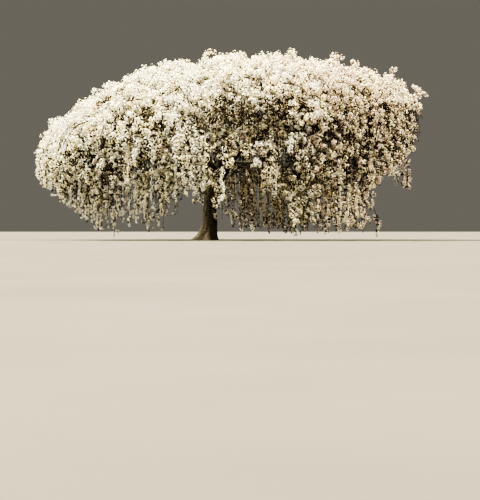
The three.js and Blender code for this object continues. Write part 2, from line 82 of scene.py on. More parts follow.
# Boughs: radii at base and tip, and the habit of their curve
BOUGH = Sizes(girth=(0.128, 0.046), rise=0.42, across=0.42, climb=-0.06)
SIDE_BOUGH = Sizes(girth=(0.078, 0.04), rise=0.35, across=0.4, climb=0)
UPPER_BOUGH = Sizes(girth=(0.074, 0.038), rise=0.5, across=0.3, climb=0.2)
LEADER = Sizes(girth=(0.12, 0.042), rise=0.4, across=0.2, climb=0.35)
LOW_BOUGH = Sizes(girth=(0.082, 0.036), rise=0.9, across=0.5, climb=-0.2)
LEAVING = 0.18  # how far outward a limb sets off, to its whole way
BOUGH_TAPER = 0.8
LIMB_BASES = Sizes(lowest=0.8, step=0.022, leader=0.93, low=0.83)  # shares of the trunk's height
SIDE_AT = 0.4  # share of the bough's length
UPPER_AT = 0.3
LIMB_SIDES = 14
LIMB_RING = 0.06  # between the rings of a limb's mesh
COLLAR = Sizes(swell=0.45, length=0.22)  # where a bough leaves its parent

# Relief of the bark: how fine it is across and up, and how high, on the limbs to their radius
PLATES = Sizes(across=4, up=2.2, shift=0, height=0.016)
FISSURES = Sizes(across=7, up=3.1, shift=9, height=0.012)
BANDS = Sizes(across=3, up=26, height=0.005)
GRAIN = Sizes(fine=24, height=0.004)
KNOTS = Sizes(fine=5, height=0.1)
LIMB_BANDS = Sizes(across=4, along=30, height=0.06)

# Rings of masses: where their seeds and their limbs' tips lie, as a share of the reach and a depth, and how
# far their twigs fall to the hem
SECTORS = 6
SECTOR_ANGLE = 2 * math.pi / SECTORS
FIRST_AZIMUTH = math.radians(-25)
OUTER = {"seed": (0.8, 0), "lift": 0.8, "tip": (0.65, 1.3), "fall": (0.9, 1.06)}
UPPER = {"seed": (0.42, 1.9), "tip": (0.33, 1.25), "fall": (0.2, 0.6), "right_fall": (0.8, 1.05)}
TOP = {"seed": (0, 0.9), "tip": (0, 1.25), "fall": (0.15, 0.45)}
LOW = {"fall": (0.88, 1.08), "top": 3.3, "spread": 2.1, "apart": 0.22, "under": (0.1, 1.1)}
LOW_SEED = (2.85, -1.05, 1.65)
LOW_TIP = (1.5, -0.7, 2.92)

# Growth inside a mass
STEM = Sizes(
    depth=0.88, reach_on=0.1, fall=0.4, lead=0.35, buds=(0.15, 1, 16), shoots=(0.2, 0.7, 8), points=24)
KNEES = {"apart": 0.36, "spread": 2.5, "scatter": 0.06, "under": (0.15, 0.55), "thinned": 0.45}
BRANCHLET = Sizes(points=5, lead=0.35, climb=0.2)
STRAND = Sizes(
    points=7, drift=0.4, least=0.2, turn=4, sway=0.1, waves=(3, 7), sag=1.3, uneven=0.25, shortest=0.3,
    fine_steps=28, proud=0.2)
SHOOTS = {"apart": 0.24, "spread": 2.5, "scatter": 0.05, "under": (0.08, 0.22), "below": 0.25,
          "longest": 1.0, "arch": 0.14, "points": 4}
SIDE_SHOOTS = Sizes(
    apart=0.15, length=(0.12, 0.36), climb=(-1.1, 0.3), skirt=0.6, upper=(1.2, 2.4), lower_share=0.45)
STRAYS = Sizes(
    count=6, length=(0.25, 0.55), scatter=0.8, bend=0.6, arch=0.2, climb=0.2, droop=0.15, points=6,
    share=0.985, proud=0.02)
HEART = Sizes(strays=2.5, flowers=2.8, rise=1.3)  # height on the crown's axis that growth points away from
LIMB_ROOM = 0.03
BLOOM_ROOM = Sizes(side=0.28, top=0.1)  # between the twigs' tips and the crown's outline

# Radii of twigs at root and tip, and the sides of those that have more than three
GIRTHS = {
    "stem": (0.04, 0.008), "rising": (0.022, 0.013), "hanging": (0.013, 0.006), "fall": (0.009, 0.004),
    "shoots": (0.01, 0.004), "strays": (0.01, 0.004), "aside": (0.007, 0.004), "arcs": (0.022, 0.006),
    "sprigs": (0.013, 0.004), "curtain": (0.013, 0.004), "trunk_shoot": (0.013, 0.004),
    "low_limb": (0.05, 0.012),
}
TWIG_SIDES = {"stem": 6, "arcs": 5, "low_limb": 6}

# Growth that shows from the front, as places right of the foot and above the ground
SPRIGS = [
    [(4.5, 6.75), (4.8, 7), (5.1, 7.02)], [(6.7, 5.95), (6.95, 6.3), (7.12, 6.5)],
    [(7.6, 5.7), (7.95, 5.75), (8.25, 5.5)], [(7.2, 3.9), (7.6, 3), (7.62, 2)],
    [(6.9, 3.8), (7.4, 2.9), (7.45, 2.1)], [(6.8, 3.5), (7.2, 2.8), (7.25, 2.3)],
    [(-0.2, 6.75), (-0.05, 7), (0.15, 7.05)], [(-5.5, 4.5), (-5.75, 4.45), (-5.95, 4.1)],
    [(-3.3, 0.9), (-3.36, 0.5), (-3.35, 0.12)], [(6.3, 1.2), (6.42, 0.7), (6.38, 0.2)],
]
CURTAIN = [
    [(-0.95, 4.2), (-0.95, 3.2), (-0.9, 2.2)], [(-0.65, 4.1), (-0.7, 3.1), (-0.7, 2.1)],
    [(-0.4, 3.9), (-0.42, 2.9), (-0.38, 2)], [(-0.2, 3.7), (-0.12, 2.7), (-0.06, 1.8)],
    [(0.05, 3.6), (0.1, 2.7), (0.14, 2)], [(-0.8, 3.7), (-0.82, 3), (-0.8, 2.4)],
    [(0.45, 2.5), (0.5, 1.9), (0.44, 1.2)], [(-0.55, 3.5), (-0.52, 2.9), (-0.5, 2.3)],
    [(0.28, 2.3), (0.34, 1.7), (0.3, 1.2)], [(0.62, 2.5), (0.64, 1.9), (0.58, 1.5)],
    [(-0.62, 2.5), (-0.66, 2), (-0.6, 1.62)], [(-0.98, 2.5), (-0.95, 1.9), (-1, 1.45)],
    [(-1.25, 2.6), (-1.3, 1.9), (-1.26, 1.35)], [(-1.55, 2.5), (-1.5, 1.8), (-1.56, 1.15)],
    [(-1.82, 2.5), (-1.86, 1.7), (-1.82, 0.95)], [(-2.1, 2.4), (-2.06, 1.6), (-2.12, 0.85)],
    [(-2.4, 2.4), (-2.44, 1.5), (-2.4, 0.7)], [(-2.72, 2.3), (-2.68, 1.4), (-2.74, 0.6)],
]
ARCS = [
    [(4.6, 5.6), (5.15, 5.55), (5.6, 5.1), (5.9, 4.4)], [(6.9, 6), (7.4, 5.9), (7.75, 5.1), (8, 4.5)],
    [(2.7, 5.5), (3.3, 5.4), (3.7, 4.9), (3.9, 4.2)], [(-2.2, 5), (-2.8, 4.9), (-3.3, 4.4), (-3.6, 3.7)],
    [(0.7, 5.2), (1.2, 5.1), (1.6, 4.6), (1.8, 4)], [(-4.2, 4.3), (-4.7, 4.1), (-5.1, 3.5), (-5.3, 2.9)],
]
ARC = Sizes(depth=0.06, sprig_depth=0.12, points=12, search=260, hindmost=-0.3)
TRUNK_SHOOT = [(0.2, -0.2, 0.74), (0.3, -0.27, 0.82), (0.3, -0.26, 1.02)]
LOW_LIMB = [(0.95, -0.2, 2.84), (1.46, -0.75, 2.75), (1.85, -1.1, 2.3), (2.15, -1.3, 2), (2.3, -1.4, 1.5)]

# Blossom
CLUSTERS = 10600
CLUSTER_APART = 0.17  # no more than one to a cube with this side
ALONG = 0.07  # between the places where a cluster may sit on a twig
CLUSTER_RADIUS = 0.115
CLUSTER_SIZE = (0.6, 1.15)
CLUSTER_UNEVEN = (0.5, 1.3)  # how far from a cluster's middle its flowers sit, to its radius
CLUSTER_STRETCH = 0.55  # more than that along the twig
CLUSTER_OUTWARD = 0.7  # how strongly it sits on the outer side of its twig
FLOWERS_IN_CLUSTER = 14
FLOWER_LEAN = Sizes(most=2.2, uneven=0.2, first=0.3)  # from the way that the cluster faces
FLOWER_RADIUS = (0.032, 0.046)
FACING = Sizes(off=0.6, outward=0.6, up=0.25)
PETALS = 5
PETAL_EDGES = ((-0.5, -0.3), (0.5, 0.05))  # turn from the petal's middle, and height

# Per kind of twig, the share of its length that stays bare, and how strongly it draws blossom
BEARING = {
    "rising": (0.45, 0.7), "hanging": (0, 0.6), "fall": (0, 0.6), "shoots": (0.35, 1.6),
    "strays": (0.3, 6), "aside": (0.4, 1.2), "arcs": (0.3, 0.3), "sprigs": (0.2, 8),
    "curtain": (0, 8), "trunk_shoot": (0.4, 30),
}
SURE = 2  # twigs that draw more than this bear it at any depth in the crown
# Clusters near the hem are smaller, most of all on the left
FINE = Sizes(
    height=(0.8, 3.6), least=0.42, right_share=0.5, right=(-1, 2), more=2.2, apart=0.75, sizes=3, petals=0.7)
# The flowering shell under the crown's surface, and the share that flowers deeper inside
SHELL = Sizes(before=0.07, depth=0.5, inner=0.01)
BILLOWS = Sizes(waves=7, length=(0.7, 1.6), span=(-2.2, 1.6), valley=0.4, floor=0.35)
# On the right some hanging twigs are bare and others laden, which streaks the curtain
STREAKS = Sizes(laden=(0.35, 1.9), right=(1.5, 3.5), top=(3.5, 5))
# The flat middle of the crown's top bears more: it is seen from straight above
MIDDLE = Sizes(share=(0.3, 0.75), under=(0.8, 1.2), more=1.3, more_leaves=3, larger=0.15)
# Thin places in the blossom on the viewer's side: middle, half sizes, and the share that is missing
HOLLOWS = [
    (0.8, 4.95, 2.2, 0.22, 0.6), (0.4, 4.6, 0.6, 0.3, 0.75), (1.5, 4.45, 0.5, 0.3, 0.75),
    (2.6, 4.6, 0.6, 0.25, 0.7), (-3.5, 3.2, 0.5, 0.3, 0.75), (-3.3, 4.35, 0.65, 0.2, 0.75),
    (-4.4, 3.1, 0.3, 0.25, 0.7), (0.95, 3.1, 0.3, 0.35, 0.5), (3.6, 3.9, 0.4, 0.5, 0.3),
    (-1.4, 3.9, 0.5, 0.25, 0.7), (-2.2, 2.9, 0.5, 0.25, 0.6),
]
# Where the blossom is set back under a ledge, seen from the front: middle, half sizes and how far
RECESSES = [(1.1, 4, 2.2, 0.8, 1.2), (-3.4, 3.1, 0.7, 0.35, 0.6), (-2.6, 4.45, 0.9, 0.2, 0.6)]
IN_FRONT = Sizes(hollows=(-0.5, 1.0), recesses=(0, 1.5))  # how far before the trunk they set in
# The fringe at the far right is thin, and the sky shows through it
FRINGE = Sizes(across=(6.8, 7.7), missing=0.84, missing_leaves=0.6)
# Strands right of the trunk, with smaller clusters of flowers whose far brighter petals are painted sunlight
FALL_OF_TWIGS = Sizes(x=1.3, half=0.8, top=2.7, fade=0.3, size=0.62)
# Near-black leaves, placed inside the crown to darken the gaps between clusters as painted shade
LEAVES = Sizes(
    count=28000, beside=16000, length=(0.1, 0.16), width=0.42, scatter=0.9, depth=0.3, outside=0.15,
    under=(0.5, 1.4), fewer=0.75, fewer_beside=0.9)
# Kinds of blossom and their petals: the first three are dealt to the sprays by lot, with more blush to the
# right. The last has far brighter petals as painted sunlight, for the flowers in the fall of twigs
KINDS = {"white_blossom": "white_petals", "cream_blossom": "cream_petals", "blush_blossom": "blush_petals",
         "painted_sunlit_blossom": "painted_sunlit_petals"}
DEAL = Sizes(cream=0.34, blush=(0.06, 0.62), right=6)
PIECE_LIMIT = 190000  # triangles in one joined piece

SEEDS = Sizes(top=23, masses=100, billows=7, streaks=9, lot=11, deal=5, flowers=3)
GOLDEN_ANGLE = math.pi * (3 - math.sqrt(5))
UP = np.array([0.0, 0.0, 1.0])
scene = bpy.context.scene

# Colours of each material, mottled together by noise
COLOURS = {
    "cherry_bark": [(0.018, 0.016, 0.014), (0.048, 0.04, 0.033), (0.1, 0.082, 0.068)],
    "twig_bark": [(0.012, 0.009, 0.007), (0.04, 0.028, 0.02)],
    # pale golden: partly the young bark's own colour, partly painted sunlight on the fall of twigs
    "young_twig_bark_and_painted_sun": [(0.2, 0.155, 0.09), (0.42, 0.34, 0.22)],
    "white_petals": [(0.56, 0.54, 0.49), (0.64, 0.62, 0.57)],
    "cream_petals": [(0.57, 0.52, 0.39), (0.63, 0.58, 0.46)],
    "blush_petals": [(0.46, 0.385, 0.335), (0.54, 0.455, 0.395)],
    # painted sunlight: petals far brighter than the others, for the flowers in the fall of twigs
    "painted_sunlit_petals": [(0.84, 0.79, 0.66), (0.92, 0.87, 0.76)],
    # near-black: painted shade in the gaps between clusters
    "young_leaves_and_painted_shade": [(0.01, 0.008, 0.006), (0.03, 0.023, 0.015)],
    "pale_floor": [(0.055, 0.053, 0.05), (0.065, 0.063, 0.059)],
}
MOTTLE = Sizes(roughness=0.6, stops=(0.32, 0.68))
SHEEN = 0.08

# Camera and stage: the tree stands 26 pixels to the metre in a frame of 480 by 500 pixels
PHOTO = Sizes(width=480, height=500, pixels_per_metre=26, foot_x=208, foot_y=240, horizon_y=231)
CAMERA_DISTANCE = 60
FARTHEST_SEEN = 2000
TONES = {"view_transform": "AgX", "look": "AgX - Very High Contrast", "exposure": 0.3}
FLOOR = Sizes(radius=600, sides=96)
WORLD = [(0.2, (0.13, 0.122, 0.105)), (0.35, (0.06, 0.058, 0.055))]  # from the horizon up
# Lamps: strength, width of the source and turns about the axes, in degrees
LAMPS = {
    "key": (18, 8, (36, 0, -110)), "sky": (11, 70, (12, 0, -104)),
    "right": (8, 10, (56, 0, 66)), "left": (4.5, 25, (74, 0, -75)),
}
LAMP_COLOUR = (1, 0.94, 0.68)


def lerp(a, b, t):
    return a + (b - a) * t


def smooth(value, low, high):
    t = np.clip((value - low) / (high - low), 0, 1)
    return t * t * (3 - 2 * t)


def unit(vectors):
    length = np.linalg.norm(vectors, axis=-1, keepdims=True)
    return vectors / np.maximum(length, 1e-9)


# Crown outline, by azimuth about the crown's axis and by height
def left_to_right(pair, azimuth):
    return lerp(*pair, (1 + np.cos(azimuth)) / 2)


def reach(azimuth):
    return REACH_SIDE * REACH_DEPTH / np.hypot(REACH_DEPTH * np.cos(azimuth), REACH_SIDE * np.sin(azimuth))


def polar(x, y):
    azimuth = np.arctan2(y, x - CROWN_X)
    return azimuth, np.hypot(x - CROWN_X, y) / reach(azimuth)


def under_dome(x, y):
    """How far the crown's uneven top lies under a smooth dome."""
    rng = np.random.default_rng(SEEDS.top)
    deep = 0
    for middle, half, depth in DIPS:
        deep = deep + depth * np.exp(-(((x - middle) / half) ** 2) - (y / DIP_REACH) ** 2)
    for _ in range(BUMPS.waves):
        turn, start = rng.uniform(0, 2 * math.pi, 2)
        along = x * math.cos(turn) + y * math.sin(turn)
        wave = 2 * math.pi / rng.uniform(*BUMPS.length)
        deep = deep + BUMPS.height * (1 + np.sin(along * wave + start))
    return deep


def dome_height(x, y):
    azimuth, share = polar(x, y)
    shoulder = left_to_right(SHOULDER, azimuth)
    power = left_to_right(ROUNDNESS, azimuth)
    rest = np.maximum(0, 1 - share**power)
    dome = shoulder + (CREST - shoulder) * rest ** (1 / power)
    return dome - under_dome(x, y) * smooth(rest, 0, 0.3)


def skirt_share(azimuth, z):
    shoulder = left_to_right(SHOULDER, azimuth)
    tuck = lerp(TUCK.front, left_to_right(TUCK.sides, azimuth), np.cos(azimuth) ** 2)
    low = (shoulder - z) / (shoulder - left_to_right(TUCKED, azimuth))
    return 1 - tuck * np.clip(low, 0, 1) ** TUCK.power


def hem_height(x, y):
    _, share = polar(x, y)
    window = WINDOW.rise * np.exp(-(((x - WINDOW.x) / WINDOW.half) ** 2))
    in_front = smooth(-y, 0, DOORWAY.depth)
    off = (x - DOORWAY.x) / DOORWAY.half
    doorway = in_front * DOORWAY.rise * np.exp(-(off ** DOORWAY.power))
    vault = VAULT.rise * (1 - smooth(share, *VAULT.share))
    return HEM + np.maximum(np.maximum(window, doorway), vault)


def crown_point(azimuth, share, depth):
    radius = share * reach(azimuth)
    x = CROWN_X + radius * math.cos(azimuth)
    y = radius * math.sin(azimuth)
    return np.array([x, y, dome_height(x, y) - depth])


def depth_in_crown(places):
    """How far inside the crown's surface each place lies."""
    azimuth, share = polar(*places[:, :2].T)
    below = dome_height(*places[:, :2].T) - places[:, 2]
    behind = (skirt_share(azimuth, places[:, 2]) - share) * reach(azimuth)
    return np.maximum(0, np.minimum(below, behind))


class Line:
    """A curve as close points, walked by its length."""

    def __init__(self, points):
        self.points = np.asarray(points, dtype=float)
        steps = np.linalg.norm(np.diff(self.points, axis=0), axis=1)
        self.marks = np.concatenate([[0], np.cumsum(steps)])
        self.length = self.marks[-1]

    def after(self, lengths):
        return np.stack([np.interp(lengths, self.marks, column) for column in self.points.T], axis=-1)

    def at(self, share):
        return self.after(np.asarray(share) * self.length)

    def heading(self, share):
        share = np.asarray(share)
        return unit(self.at(np.minimum(share + 0.01, 1)) - self.at(np.maximum(share - 0.01, 0)))


def level_ways(turns, climb=0):
    """Ways in level directions, or with a climb."""
    return np.stack([np.cos(turns), np.sin(turns), climb + np.zeros(len(turns))], axis=1)


def part_along(vectors, ways):
    return np.sum(vectors * ways, axis=-1, keepdims=True) * ways


def bezier(*handles, count=120):
    t = np.linspace(0, 1, count)[:, None]
    degree = len(handles) - 1
    return sum(math.comb(degree, i) * (1 - t) ** (degree - i) * t**i * h for i, h in enumerate(handles))


def catmull_rom(points, per_stretch=40):
    points = np.asarray(points, dtype=float)
    ends = [2 * points[0] - points[1], *points, 2 * points[-1] - points[-2]]
    t = np.linspace(0, 1, per_stretch, endpoint=False)[:, None]
    out = []
    for before, a, b, after in zip(ends, ends[1:], ends[2:], ends[3:]):
        leave = (b - before) / 2
        arrive = (after - a) / 2
        bend = a + leave * t + (3 * (b - a) - 2 * leave - arrive) * t**2
        out.append(bend + (2 * (a - b) + leave + arrive) * t**3)
    return np.concatenate([*out, points[-1:]])


# Limbs
trunk_line = Line(catmull_rom(TRUNK_LINE))


def trunk_girth(height):
    rise = height / FORK_HEIGHT
    column = lerp(TRUNK.foot, TRUNK.waist, smooth(rise, 0, 0.5))
    swell = (TRUNK.fork - TRUNK.waist) * smooth(rise, 0.5, 0.75)
    shed = (TRUNK.fork - TRUNK.top) * smooth(rise, 0.8, 1)
    return column + swell - shed


def trunk_point(share):
    heights = trunk_line.points[:, 2]
    return trunk_line.points[np.argmin(abs(heights - share * FORK_HEIGHT))]


def arching_line(start, end, size):
    across = (end - start) * (1, 1, 0)
    climb = end[2] - start[2]
    first = start + across * LEAVING + UP * climb * size.rise
    second = end - across * size.across - UP * climb * size.climb
    return Line(bezier(start, first, second, end))


def limb_girths(limb, shares):
    return lerp(*limb["size"].girth, shares**BOUGH_TAPER)


def lay_out():
    """The limbs, and each mass's seed with the limb that bears it and its ring's sizes."""
    limbs, masses = [], []

    def add_limb(name, base, tip, size):
        limbs.append({"name": name, "line": arching_line(base, tip, size), "size": size})
        return limbs[-1]

    def add_mass(name, seed, limb, ring):
        masses.append({"name": name, "seed": np.array(seed, dtype=float), "limb": limb, "ring": ring})

    def add_outer_mass(number, azimuth, limb):
        seed = crown_point(azimuth, *OUTER["seed"])
        seed[2] = lerp(hem_height(seed[0], seed[1]), seed[2], OUTER["lift"])
        add_mass(f"outer_blossom_{number}", seed, limb, OUTER)

    leader = add_limb("leader", trunk_point(LIMB_BASES.leader), crown_point(0, *TOP["tip"]), LEADER)
    add_mass("top_blossom", crown_point(0, *TOP["seed"]), leader, TOP)
    for i in range(SECTORS):
        azimuth = FIRST_AZIMUTH + i * SECTOR_ANGLE
        between = azimuth + SECTOR_ANGLE / 2
        base = trunk_point(LIMB_BASES.lowest + LIMB_BASES.step * ((i * 5) % SECTORS))
        bough = add_limb(f"bough_{i + 1}", base, crown_point(azimuth, *OUTER["tip"]), BOUGH)
        add_outer_mass(2 * i + 1, azimuth, bough)
        base = bough["line"].at(SIDE_AT)
        side = add_limb(f"side_bough_{i + 1}", base, crown_point(between, *OUTER["tip"]), SIDE_BOUGH)
        add_outer_mass(2 * i + 2, between, side)
        base = bough["line"].at(UPPER_AT)
        upper = add_limb(f"upper_bough_{i + 1}", base, crown_point(azimuth, *UPPER["tip"]), UPPER_BOUGH)
        add_mass(f"upper_blossom_{i + 1}", crown_point(azimuth, *UPPER["seed"]), upper, UPPER)
    low = add_limb("low_bough", trunk_point(LIMB_BASES.low), np.array(LOW_TIP), LOW_BOUGH)
    add_mass("inner_blossom", LOW_SEED, low, LOW)
    return limbs, masses


def way_between(mass, other):
    """From one mass's seed to another's, and level between the low mass and an outer one."""
    rings = (mass["ring"], other["ring"])
    level = LOW in rings and OUTER in rings
    return (other["seed"] - mass["seed"]) * ((1, 1, 0) if level else (1, 1, 1))


limbs, masses = lay_out()
for mass in masses:
    rest = [other for other in masses if other is not mass]
    middles = np.array([(other["seed"] + mass["seed"]) / 2 for other in rest])
    mass["walls"] = unit(np.array([way_between(mass, other) for other in rest]))
    mass["wall_offsets"] = np.sum(mass["walls"] * middles, axis=1)


# A mass's own space: under its rounded top, above the hem, inside the skirt, nearest to its own seed
def top_of(mass, x, y):
    off = np.hypot(x - mass["seed"][0], y - mass["seed"][1]) / LOBE.half
    ceiling = mass["ring"].get("top", CREST)
    return np.minimum(ceiling, dome_height(x, y)) - LOBE.drop * np.minimum(1, off**2)


def hem_of(mass, x, y):
    return np.full(np.shape(x), HEM) if mass["ring"] is LOW else hem_height(x, y)


def has_room(places):
    """Which places leave room for a flower inside the crown's outline."""
    x, y, z = np.moveaxis(places, -1, 0)
    azimuth, share = polar(x, y)
    aside = share < skirt_share(azimuth, z) - BLOOM_ROOM.side / REACH_SIDE
    return aside & (z < dome_height(x, y) - BLOOM_ROOM.top)


def in_space(mass, places, proud=0):
    x, y, z = np.moveaxis(places, -1, 0)
    inside = has_room(places) & (z <= top_of(mass, x, y) + proud) & (z >= hem_of(mass, x, y) - proud)
    beyond = places @ mass["walls"].T - mass["wall_offsets"]
    return inside & (beyond < -CELL_GAP / 2).all(axis=-1)


limb_shares = np.linspace(0, 0.9, 40)
limb_places = [limb["line"].at(limb_shares) for limb in limbs]
limb_places = np.concatenate([*limb_places, trunk_line.points])
limb_radii = [limb_girths(limb, limb_shares) for limb in limbs]
limb_radii = np.concatenate([*limb_radii, trunk_girth(trunk_line.points[:, 2])])


def clear_of_limbs(points):
    """Which of some places lie clear of every limb and of the trunk."""
    apart = np.linalg.norm(points[:, None] - limb_places, axis=-1)
    return (apart > limb_radii + LIMB_ROOM).all(axis=1)


def stem_line(mass):
    line = mass["limb"]["line"]
    start = line.at(1)
    heading = line.heading(1)
    azimuth, share = polar(*mass["seed"][:2])
    crest = mass["seed"].copy()
    crest[2] = top_of(mass, *crest[:2]) - STEM.depth
    end = crown_point(azimuth, share + STEM.reach_on, 0)
    end[2] = lerp(crest[2], hem_of(mass, *end[:2]), STEM.fall)
    return Line(catmull_rom([start, start + heading * STEM.lead, crest, end]))


def places_under_top(mass, habit, rng):
    """Places spread evenly on a disc under a mass's top, then scattered a little and sunk under it."""
    count = int(math.pi * habit["spread"] ** 2 / habit["apart"] ** 2)
    k = np.arange(count) + 0.5
    radius = habit["spread"] * np.sqrt(k / count)
    turn = rng.random() * math.pi + k * GOLDEN_ANGLE
    x = mass["seed"][0] + radius * np.cos(turn) + rng.normal(0, habit["scatter"], count)
    y = mass["seed"][1] + radius * np.sin(turn) + rng.normal(0, habit["scatter"], count)
    return np.stack([x, y, top_of(mass, x, y) - rng.uniform(*habit["under"], count)], axis=1)


def knees_of(mass, rng):
    """Where twigs turn down, under the crown's surface, closer together towards the skirt."""
    knees = places_under_top(mass, KNEES | mass["ring"], rng)
    _, share = polar(*knees[:, :2].T)
    kept = rng.random(len(knees)) < lerp(KNEES["thinned"], 1, np.minimum(1, share) ** 2)
    return knees[kept & in_space(mass, knees)]


def branchlets(stem, knees):
    """Each knee in turn, the nearest to the stem first, is joined to what has already grown."""
    shares = np.linspace(*STEM.buds)
    grown = list(zip(stem.at(shares), stem.heading(shares)))
    near = np.linalg.norm(knees[:, None] - stem.at(shares), axis=-1).min(axis=1)
    paths = []
    for knee in knees[np.argsort(near)]:
        places = np.array([place for place, _ in grown])
        away = np.linalg.norm(places - knee, axis=1)
        climb = np.maximum(0, places[:, 2] - knee[2])
        start, heading = grown[int(np.argmin(away + climb))]
        span = np.linalg.norm(knee - start)
        ahead = heading * BRANCHLET.lead + UP * BRANCHLET.climb
        path = bezier(start, start + ahead * span, knee, count=BRANCHLET.points)
        paths.append(path)
        ahead = unit(path[-1] - path[-2])
        grown += [(path[2], unit(path[3] - path[1])), (path[3], ahead)]
    return np.array(paths)


def weeping(mass, knees, rng):
    """From each knee out a little and down to the hem, or to where the twig would leave its space."""
    count = len(knees)
    outward = unit((knees - (CROWN_X, 0, 0)) * (1, 1, 0))
    fall = rng.uniform(*mass["ring"]["fall"], count)
    right_fall = rng.uniform(*mass["ring"].get("right_fall", mass["ring"]["fall"]), count)
    fall = lerp(fall, right_fall, smooth(knees[:, 0], CROWN_X, REACH_SIDE / 2))
    ends = lerp(knees[:, 2], hem_of(mass, knees[:, 0], knees[:, 1]), fall)
    t = np.linspace(0, 1, STRAND.fine_steps)
    out = (STRAND.drift * rng.uniform(STRAND.least, 1, count))[:, None] * (1 - np.exp(-STRAND.turn * t))
    turns = rng.uniform(0, 2 * math.pi, (count, 2))
    waves = rng.uniform(*STRAND.waves, (count, 1))
    sway = STRAND.sway * t * np.sin(waves * t + turns[:, :1])
    aside = level_ways(turns[:, 1])[:, None]
    fine = knees[:, None] + outward[:, None] * out[..., None] + aside * sway[..., None]
    fine[..., 2] = lerp(knees[:, 2:], ends[:, None], t ** STRAND.sag)
    inside = in_space(mass, fine, proud=STRAND.proud)
    first_out = np.where(inside.all(axis=1), STRAND.fine_steps, np.argmin(inside, axis=1))
    paths = []
    for strand, out_at in zip(fine, first_out):
        trim = rng.random() * STRAND.uneven
        line = Line(strand[: max(2, out_at)])
        if line.length - trim < STRAND.shortest:
            continue
        path = line.at(np.linspace(0, 1 - trim / line.length, STRAND.points))
        if clear_of_limbs(path).all():
            paths.append(path)
    return np.array(paths)


def shoots(mass, skeleton, rng):
    """Short shoots from the twigs below up to places spread evenly over the crown's surface."""
    tips = places_under_top(mass, SHOOTS, rng)
    tips = tips[in_space(mass, tips)]
    tree = kdtree.KDTree(len(skeleton))
    for i, place in enumerate(skeleton):
        tree.insert(place, i)
    tree.balance()
    paths = []
    for tip in tips:
        place, _, away = tree.find(tip - UP * SHOOTS["below"])
        start = np.array(place)
        if away > SHOOTS["longest"]:
            continue
        middle = (start + tip) / 2 + UP * SHOOTS["arch"] * away
        paths.append(bezier(start, middle, tip, count=SHOOTS["points"]))
    return np.array(paths)


def strays(tips, rng):
    """A few longer shoots that arch out to the crown's outline."""
    chosen = rng.choice(tips, STRAYS.count, replace=False)
    outward = unit((chosen - (CROWN_X, 0, HEART.strays)) + rng.normal(0, STRAYS.scatter, chosen.shape))
    length = rng.uniform(*STRAYS.length, len(chosen))[:, None]
    middle = chosen + outward * length * STRAYS.bend + UP * length * STRAYS.arch
    end = chosen + outward * length * (1, 1, STRAYS.climb) - UP * length * STRAYS.droop
    paths = np.stack([bezier(*p, count=STRAYS.points) for p in zip(chosen, middle, end)])
    _, share = polar(paths[..., 0], paths[..., 1])
    near = (share < STRAYS.share).all(axis=1) & (paths[..., 2] < CREST + STRAYS.proud).all(axis=1)
    return paths[near]


def side_shoots(paths, rng):
    """Short shoots from the hanging strands near the skirt, out to all sides and down."""
    starts = []
    for path in paths:
        line = Line(path)
        count = int(line.length / SIDE_SHOOTS.apart)
        shares = (np.arange(count) + rng.random(count)) / max(1, count)
        starts.append(line.at(shares))
    starts = np.concatenate(starts)
    _, share = polar(*starts[:, :2].T)
    fewer = smooth(starts[:, 2], *SIDE_SHOOTS.upper)
    kept = rng.random(len(starts)) < lerp(SIDE_SHOOTS.lower_share, 1, fewer)
    starts = starts[kept & (share > SIDE_SHOOTS.skirt)]
    turn = rng.uniform(0, 2 * math.pi, len(starts))
    length = rng.uniform(*SIDE_SHOOTS.length, len(starts))
    aside = level_ways(turn, rng.uniform(*SIDE_SHOOTS.climb, len(starts)))
    tips = starts + unit(aside) * length[:, None]
    return np.stack([starts, tips], axis=1)[has_room(tips)]


def front_place(x, z, depth):
    """The place on the viewer's side of the crown at a depth under its surface."""
    y = np.linspace(-REACH_DEPTH, 0, ARC.search)
    line = np.stack([np.full(len(y), x), y, np.full(len(y), z)], axis=1)
    deep = depth_in_crown(line) >= depth
    return line[np.argmax(deep)] if deep.any() else np.array([x, ARC.hindmost, z])


def through(places, count=ARC.points):
    return Line(catmull_rom(places)).at(np.linspace(0, 1, count))


def shown_paths(lines, depth):
    """Curved twigs through places seen from the front, under the crown's surface."""
    paths = []
    for places in lines:
        points = np.array([front_place(x, z, depth) for x, z in places])
        # A hanging twig is upright
        if points[0, 2] - points[-1, 2] > 2 * abs(points[0, 0] - points[-1, 0]):
            points[:, 1] = points[:, 1].max()
        paths.append(through(points))
    return np.array(paths)


# Meshes
def mesh_object(name, vertices, faces, material, smooth_shaded=False):
    """An object from arrays of corners and of faces that all have as many sides."""
    mesh = bpy.data.meshes.new(name)
    count, sides = faces.shape
    mesh.vertices.add(len(vertices))
    mesh.vertices.foreach_set("co", np.asarray(vertices, dtype=np.float32).ravel())
    mesh.loops.add(count * sides)
    mesh.loops.foreach_set("vertex_index", np.asarray(faces, dtype=np.int32).ravel())
    mesh.polygons.add(count)
    mesh.polygons.foreach_set("loop_start", np.arange(0, count * sides, sides, dtype=np.int32))
    mesh.polygons.foreach_set("loop_total", np.full(count, sides, dtype=np.int32))
    mesh.polygons.foreach_set("use_smooth", np.full(count, smooth_shaded))
    mesh.update(calc_edges=True)
    mesh.materials.append(material)
    thing = bpy.data.objects.new(name, mesh)
    scene.collection.objects.link(thing)
    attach(thing, "root")
    return thing


def skin(rings):
    """Four-sided faces between rings of corners."""
    after = np.roll(rings, -1, axis=-1)
    here, ahead = (..., slice(None, -1), slice(None)), (..., slice(1, None), slice(None))
    return np.stack([rings[here], after[here], after[ahead], rings[ahead]], axis=-1).reshape(-1, 4)


